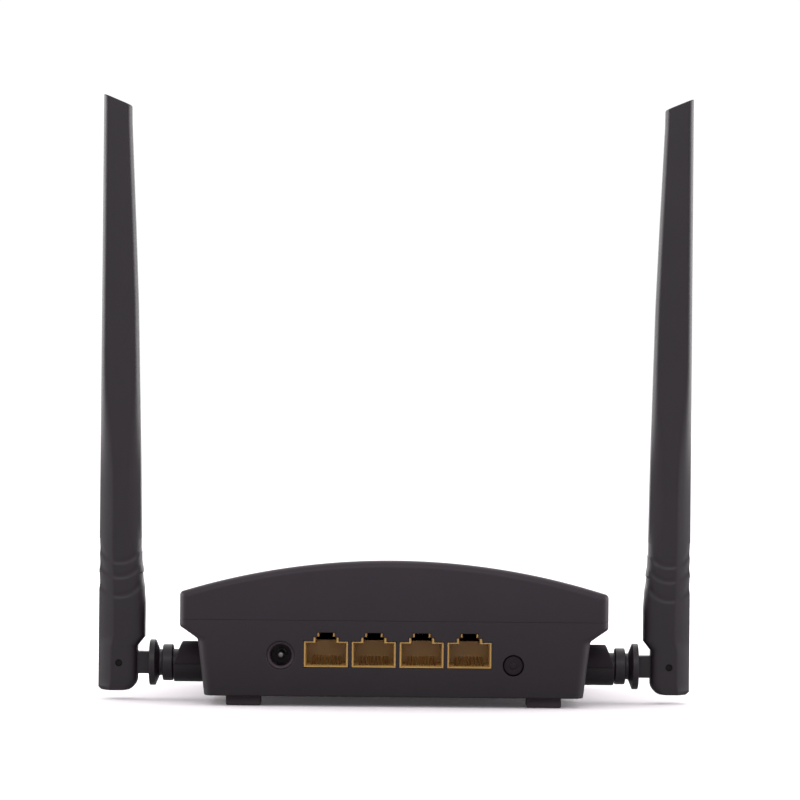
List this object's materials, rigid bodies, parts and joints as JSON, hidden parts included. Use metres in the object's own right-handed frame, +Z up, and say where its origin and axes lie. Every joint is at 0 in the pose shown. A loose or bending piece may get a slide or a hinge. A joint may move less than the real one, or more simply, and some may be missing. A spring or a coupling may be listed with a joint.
{
  "type": "wireless router",
  "caption": "Small wireless router: domed two-part case, rear network sockets, power inlet and reset button, antennas that swivel and fold at both sides.",
  "frame": {"origin": "on the floor, under the middle of the body's outline", "axes": "+Z up, the rear panel with the sockets faces -Y, +X to the right seen from behind"},
  "size_m": [0.1758, 0.088, 0.1803],
  "materials": {
    "case_plastic": "fine-textured charcoal moulding",
    "antenna_plastic": "satin charcoal moulding",
    "dark_plastic": "smooth black moulding",
    "jack_plastic": "smooth black moulding",
    "socket_plastic": "mustard-gold moulding, slightly translucent",
    "foot_rubber": "dull",
    "label_film": "blank, satin",
    "board_laminate": "solder-mask green",
    "chip_resin": "moulded resin",
    "ferrite": "dull grey",
    "ceramic_body": "fired ceramic",
    "capacitor_sleeve": "shrink sleeve",
    "led_lens": "milky",
    "clear_plastic": "clear moulding",
    "cable_jacket": "smooth jacket",
    "zinc_steel": "zinc plated",
    "pin_steel": "blackened",
    "nickel_plate": "nickel plated",
    "tin_plate": "tin plated",
    "gold_plate": "gold flashed",
    "brass_tube": "drawn",
    "heat_sink_alloy": "satin"
  },
  "bodies": {
    "case": {"lower_shell": "case_plastic", "top_cover": "case_plastic", "left_socket_cap": "dark_plastic", "right_socket_cap": "dark_plastic", "rubber_feet": "foot_rubber", "case_screws": "zinc_steel", "rating_label": "label_film", "main_board": "board_laminate", "board_screws": "zinc_steel", "dc_jack_housing": "jack_plastic", "dc_jack_pin": "nickel_plate", "dc_jack_spring": "nickel_plate", "reset_switch": "nickel_plate", "processor_chip": "chip_resin", "heat_sink": "heat_sink_alloy", "memory_chip": "chip_resin", "flash_chip": "chip_resin", "crystal": "nickel_plate", "rf_shield": "tin_plate", "lan_transformers": "chip_resin", "capacitors": "capacitor_sleeve", "power_inductor": "ferrite", "board_passives": "ceramic_body", "status_leds": "led_lens", "light_pipe": "clear_plastic", "wan_port_housing": "socket_plastic", "wan_port_contacts": "gold_plate", "lan_port_1_housing": "socket_plastic", "lan_port_1_contacts": "gold_plate", "lan_port_2_housing": "socket_plastic", "lan_port_2_contacts": "gold_plate", "lan_port_3_housing": "socket_plastic", "lan_port_3_contacts": "gold_plate", "left_coax_lead": "cable_jacket", "right_coax_lead": "cable_jacket"},
    "reset_button": {"reset_button": "dark_plastic", "switch_plunger": "dark_plastic"},
    "left_stem": {"left_antenna_stem": "antenna_plastic"},
    "left_antenna": {"left_antenna_rear_shell": "antenna_plastic", "left_antenna_front_shell": "antenna_plastic", "left_hinge_pin": "pin_steel", "left_radiator_sleeve": "brass_tube", "left_radiator_coax": "cable_jacket"},
    "right_stem": {"right_antenna_stem": "antenna_plastic"},
    "right_antenna": {"right_antenna_rear_shell": "antenna_plastic", "right_antenna_front_shell": "antenna_plastic", "right_hinge_pin": "pin_steel", "right_radiator_sleeve": "brass_tube", "right_radiator_coax": "cable_jacket"}
  },
  "joints": [
    {"name": "left_swivel", "type": "hinge", "parent": "case", "child": "left_stem", "pos_m": [-0.06, -0.022, 0.011], "axis": [1, 0, 0], "range_deg": [-90, 90]},
    {"name": "left_fold", "type": "hinge", "parent": "left_stem", "child": "left_antenna", "pos_m": [-0.0817, -0.022, 0.011], "axis": [0, -1, 0], "range_deg": [0, 90]},
    {"name": "right_swivel", "type": "hinge", "parent": "case", "child": "right_stem", "pos_m": [0.06, -0.022, 0.011], "axis": [1, 0, 0], "range_deg": [-90, 90]},
    {"name": "right_fold", "type": "hinge", "parent": "right_stem", "child": "right_antenna", "pos_m": [0.0817, -0.022, 0.011], "axis": [0, 1, 0], "range_deg": [0, 90]},
    {"name": "reset_press", "type": "slide", "parent": "case", "child": "reset_button", "axis": [0, 1, 0], "range_m": [0, 0.0004], "stiffness_N_per_m": 2000}
  ]
}
